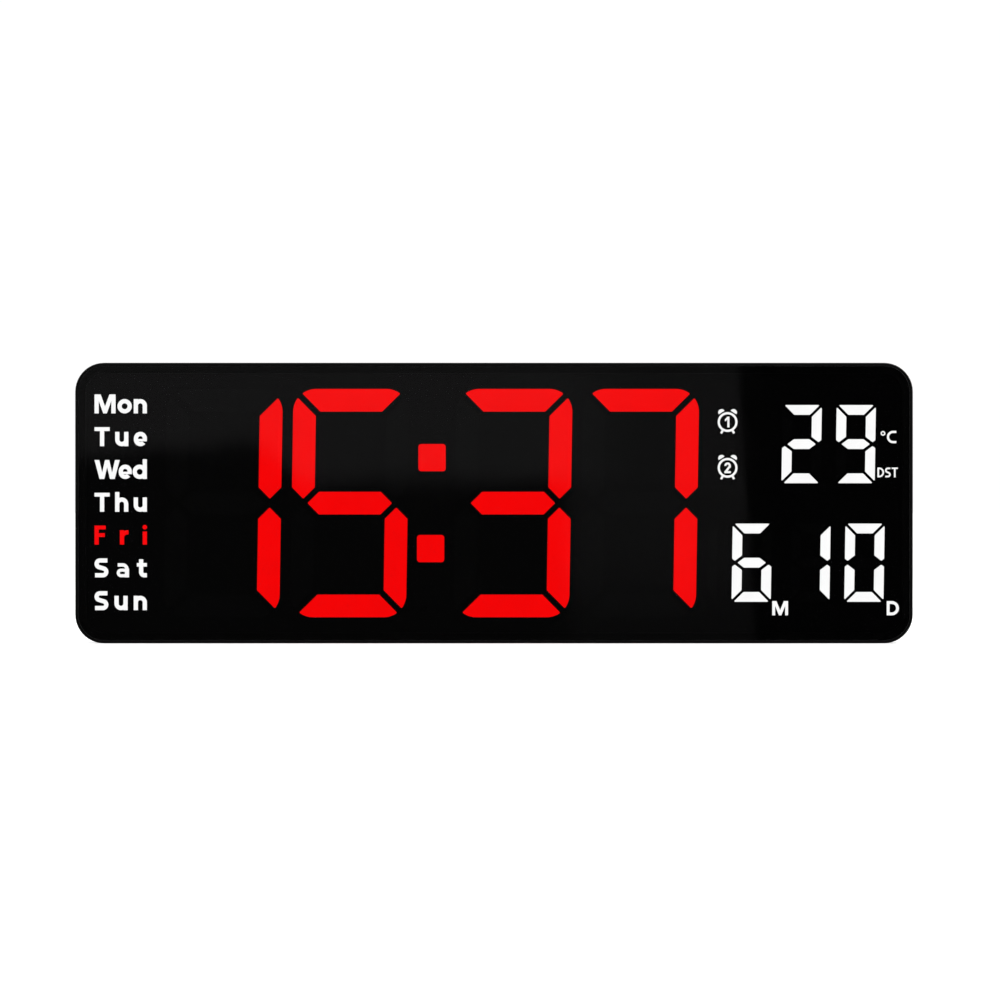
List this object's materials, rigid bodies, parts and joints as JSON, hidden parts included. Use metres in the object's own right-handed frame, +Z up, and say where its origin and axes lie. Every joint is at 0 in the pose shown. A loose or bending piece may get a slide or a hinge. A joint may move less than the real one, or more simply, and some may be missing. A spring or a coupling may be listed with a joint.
{
  "type": "gym round timer",
  "caption": "Wide rounded black wall or shelf display clock and round timer with large seven-segment figures, weekday, date and temperature, rear buttons and fold-out legs.",
  "frame": {"origin": "middle of the bounding box at the base, on the shelf the clock stands on", "axes": "+X to the viewer's right, +Y to the rear (the display faces -Y), +Z up"},
  "size_m": [0.406, 0.028, 0.136],
  "materials": {
    "smoked_acrylic": "polished, see-through dark smoke",
    "case_black": "fine moulded texture, satin",
    "black_print": "flat black print",
    "milky_sheet": "translucent milky film",
    "white_reflector": "white moulded reflector",
    "red_lens_lit": "glowing red window",
    "lens_dark": "unlit smoky window",
    "white_lens_lit": "glowing white window",
    "white_print_lit": "glowing white legend",
    "foam_tape": "black double-sided foam tape",
    "circuit_board": "green solder mask on glass-fibre board",
    "led_package": "white LED package with a clear lens pool",
    "chip_black": "moulded epoxy package",
    "can_metal": "drawn can, satin",
    "sensor_black": "dark filter epoxy",
    "sensor_face": "photocell under clear resin",
    "bead_epoxy": "dipped epoxy bead",
    "socket_black": "moulded socket body",
    "plated_contact": "nickel plated",
    "cell_steel": "drawn stainless steel",
    "screw_steel": "black zinc plated steel",
    "pin_steel": "ground steel wire",
    "button_grey": "satin moulded cap",
    "switch_black": "moulded switch body",
    "plunger_white": "moulded plunger",
    "leg_black": "fine moulded texture, satin",
    "pad_rubber": "soft matt rubber"
  },
  "bodies": {
    "clock": {"front_panel": "smoked_acrylic", "panel_tape": "foam_tape", "front_frame": "case_black", "mask_plate": "black_print", "diffuser_sheet": "milky_sheet", "light_box": "white_reflector", "hour_tens_segments_lit": "red_lens_lit", "hour_tens_segments_dark": "lens_dark", "hour_units_segments_lit": "red_lens_lit", "hour_units_segments_dark": "lens_dark", "minute_tens_segments_lit": "red_lens_lit", "minute_tens_segments_dark": "lens_dark", "minute_units_segments_lit": "red_lens_lit", "minute_units_segments_dark": "lens_dark", "colon_dots": "red_lens_lit", "temperature_segments_lit": "white_lens_lit", "temperature_segments_dark": "lens_dark", "date_segments_lit": "white_lens_lit", "date_segments_dark": "lens_dark", "weekday_letters": "white_print_lit", "today_letters": "red_lens_lit", "alarm_icons": "white_print_lit", "unit_legends": "white_print_lit", "display_board": "circuit_board", "board_screws": "screw_steel", "time_leds": "led_package", "small_digit_leds": "led_package", "legend_leds": "led_package", "driver_chips": "chip_black", "control_chip": "chip_black", "clock_crystal": "can_metal", "capacitors": "can_metal", "resistors": "chip_black", "regulator": "chip_black", "buzzer": "chip_black", "temperature_sensor": "bead_epoxy", "remote_receiver": "sensor_black", "light_sensor": "sensor_face", "power_socket": "socket_black", "socket_pin": "plated_contact", "switch_bodies": "switch_black", "leg_pin_left": "pin_steel", "leg_pin_right": "pin_steel", "coin_cell": "cell_steel", "cell_contacts": "plated_contact", "rear_cover": "case_black", "case_screws": "screw_steel"},
    "set_cap": {"set_button": "button_grey", "set_switch_plunger": "plunger_white"},
    "up_cap": {"up_button": "button_grey", "up_switch_plunger": "plunger_white"},
    "down_cap": {"down_button": "button_grey", "down_switch_plunger": "plunger_white"},
    "left_leg": {"leg_left": "leg_black", "leg_pad_left": "pad_rubber"},
    "right_leg": {"leg_right": "leg_black", "leg_pad_right": "pad_rubber"},
    "door": {"battery_door": "case_black"}
  },
  "joints": [
    {"name": "set_press", "type": "slide", "parent": "clock", "child": "set_cap", "axis": [0, -1, 0], "range_m": [0, 0.0006], "stiffness_N_per_m": 1200, "springref_m": -0.0002},
    {"name": "up_press", "type": "slide", "parent": "clock", "child": "up_cap", "axis": [0, -1, 0], "range_m": [0, 0.0006], "stiffness_N_per_m": 1200, "springref_m": -0.0002},
    {"name": "down_press", "type": "slide", "parent": "clock", "child": "down_cap", "axis": [0, -1, 0], "range_m": [0, 0.0006], "stiffness_N_per_m": 1200, "springref_m": -0.0002},
    {"name": "left_leg_fold", "type": "hinge", "parent": "clock", "child": "left_leg", "pos_m": [-0.15, 0.0098, 0.0042], "axis": [-1, 0, 0], "range_deg": [0, 90]},
    {"name": "right_leg_fold", "type": "hinge", "parent": "clock", "child": "right_leg", "pos_m": [0.15, 0.0098, 0.0042], "axis": [-1, 0, 0], "range_deg": [0, 90]},
    {"name": "battery_door_open", "type": "hinge", "parent": "clock", "child": "door", "pos_m": [-0.095, 0.0132, 0.0478], "axis": [-1, 0, 0], "range_deg": [0, 90]}
  ]
}
